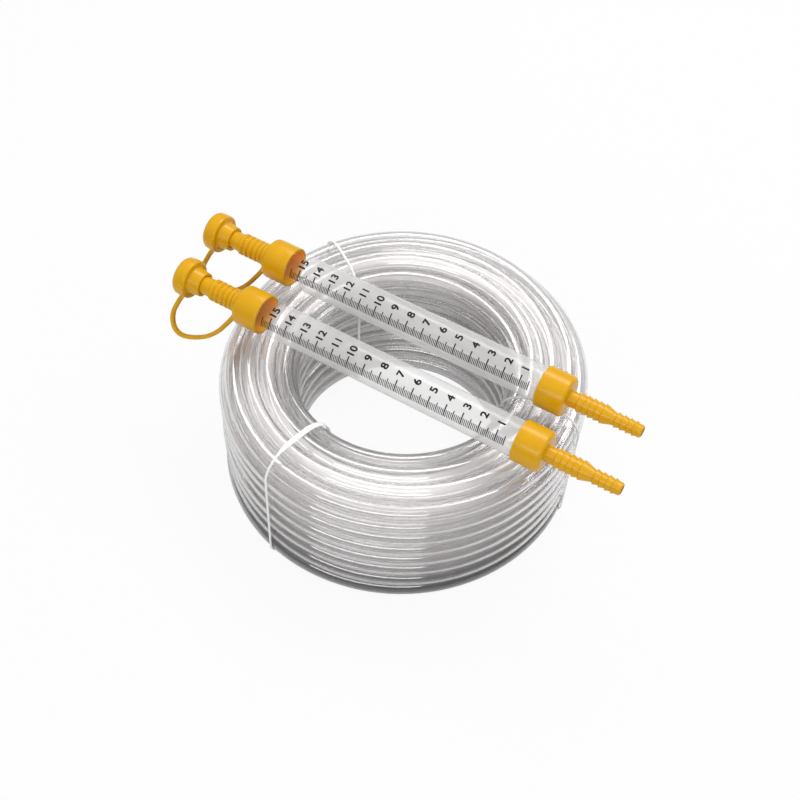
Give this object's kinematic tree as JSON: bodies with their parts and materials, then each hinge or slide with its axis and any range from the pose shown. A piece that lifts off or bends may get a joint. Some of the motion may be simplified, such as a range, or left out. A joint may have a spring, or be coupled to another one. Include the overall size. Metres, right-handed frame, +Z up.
{
  "type": "water level hose tool",
  "caption": "Hose water level: a tied round coil of clear hose with clear graduated sight gauges lying across it, each with a barbed hose tail and a tethered push-on cap.",
  "frame": {"origin": "on the floor under the middle of the whole object", "axes": "+X along the gauges, from their caps to their hose tails; +Z up; the front gauge lies on the -Y side"},
  "size_m": [0.282, 0.2052, 0.1164],
  "materials": {
    "clear_hose": "clear soft plastic, glossy",
    "white_tie": "white flat tie",
    "clear_tube": "clear rigid plastic, glossy",
    "yellow_plastic": "moulded plastic, half gloss",
    "grey_seal": "flat sealing washer"
  },
  "bodies": {
    "coil": {"hose_core": "clear_hose", "hose_winding": "clear_hose", "tie_back": "white_tie", "tie_front": "white_tie", "tie_side": "white_tie"},
    "front_gauge": {"front_sight_tube": "clear_tube", "front_hose_tail": "yellow_plastic", "front_filler_neck": "yellow_plastic", "front_lower_seal": "grey_seal", "front_upper_seal": "grey_seal"},
    "front_closure": {"front_cap": "yellow_plastic", "front_tether": "yellow_plastic"},
    "rear_gauge": {"rear_sight_tube": "clear_tube", "rear_hose_tail": "yellow_plastic", "rear_filler_neck": "yellow_plastic", "rear_lower_seal": "grey_seal", "rear_upper_seal": "grey_seal"},
    "rear_closure": {"rear_cap": "yellow_plastic", "rear_tether": "yellow_plastic"}
  },
  "joints": [
    {"name": "front_gauge_lift", "type": "slide", "parent": "coil", "child": "front_gauge", "axis": [0, 0, 1], "range_m": [0, 0.12]},
    {"name": "front_cap_pull", "type": "slide", "parent": "front_gauge", "child": "front_closure", "axis": [-1, 0, 0], "range_m": [0, 0.025], "deforming": ["front_tether"]},
    {"name": "rear_gauge_lift", "type": "slide", "parent": "coil", "child": "rear_gauge", "axis": [0, 0, 1], "range_m": [0, 0.12]},
    {"name": "rear_cap_pull", "type": "slide", "parent": "rear_gauge", "child": "rear_closure", "axis": [-1, 0, 0], "range_m": [0, 0.025], "deforming": ["rear_tether"]}
  ]
}
